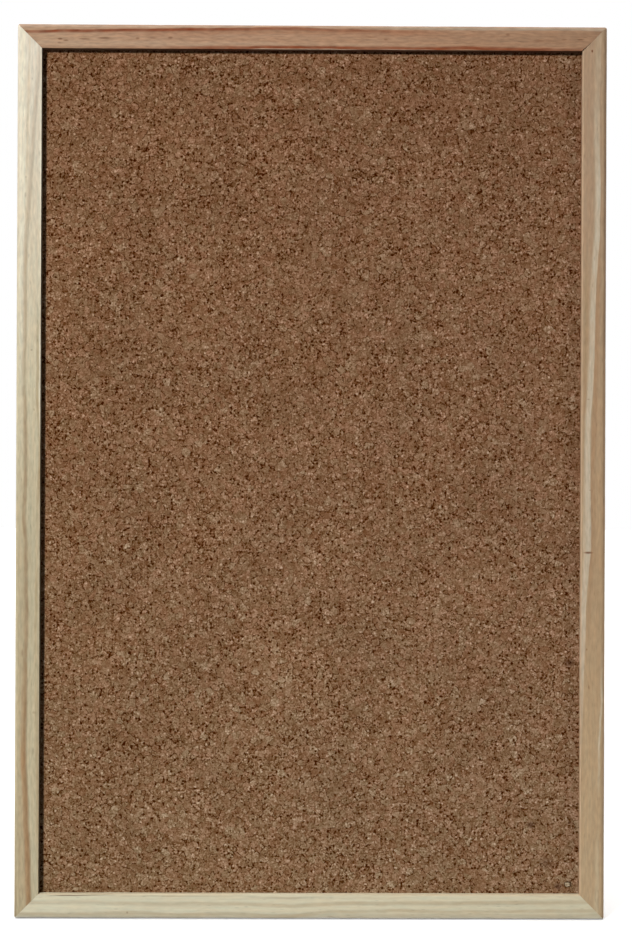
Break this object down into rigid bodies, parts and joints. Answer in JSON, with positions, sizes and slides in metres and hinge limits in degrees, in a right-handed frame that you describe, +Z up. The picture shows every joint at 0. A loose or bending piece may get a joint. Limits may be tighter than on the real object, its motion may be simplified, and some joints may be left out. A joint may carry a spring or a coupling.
{
  "type": "framed cork pin board",
  "caption": "Framed cork pin board: mitred pine bars hold a cork-faced laminated panel, with stapled corners and swinging ring hangers screwed to the back.",
  "frame": {"origin": "middle of the top bar's back face, in the plane that lies against the wall", "axes": "+Z up, -Y out of the cork face towards the room, +Y towards the wall, +X to the right as seen from the front"},
  "size_m": [0.396, 0.0205, 0.6],
  "materials": {
    "red_pine": "planed, unvarnished, reddish heartwood",
    "pale_pine": "planed, unvarnished, pale sapwood",
    "cream_pine": "planed, unvarnished, cream sapwood with brown streaks",
    "tan_pine": "planed, unvarnished, tan",
    "cork": "pressed cork granules, matt",
    "softboard": "soft pressed wood fibre",
    "hardboard": "hard pressed wood fibre",
    "staple_steel": "zinc-coated wire",
    "plated_steel": "bright zinc plating"
  },
  "bodies": {
    "board": {"top_bar": "red_pine", "bottom_bar": "pale_pine", "left_bar": "cream_pine", "right_bar": "tan_pine", "cork_sheet": "cork", "softboard_core": "softboard", "hardboard_back": "hardboard", "corner_staple_top_left_outer": "staple_steel", "corner_staple_top_left_inner": "staple_steel", "corner_staple_top_right_outer": "staple_steel", "corner_staple_top_right_inner": "staple_steel", "corner_staple_bottom_left_outer": "staple_steel", "corner_staple_bottom_left_inner": "staple_steel", "corner_staple_bottom_right_outer": "staple_steel", "corner_staple_bottom_right_inner": "staple_steel", "hanger_strap_left": "plated_steel", "hanger_screw_left": "plated_steel", "hanger_strap_right": "plated_steel", "hanger_screw_right": "plated_steel"},
    "ring_left": {"hanger_ring_left": "plated_steel"},
    "ring_right": {"hanger_ring_right": "plated_steel"}
  },
  "joints": [
    {"name": "ring_left_swing", "type": "hinge", "parent": "board", "child": "ring_left", "pos_m": [-0.18975, 0.00225, -0.07175], "axis": [1, 0, 0], "range_deg": [0, 180]},
    {"name": "ring_right_swing", "type": "hinge", "parent": "board", "child": "ring_right", "pos_m": [0.18975, 0.00225, -0.07175], "axis": [1, 0, 0], "range_deg": [0, 180]}
  ]
}
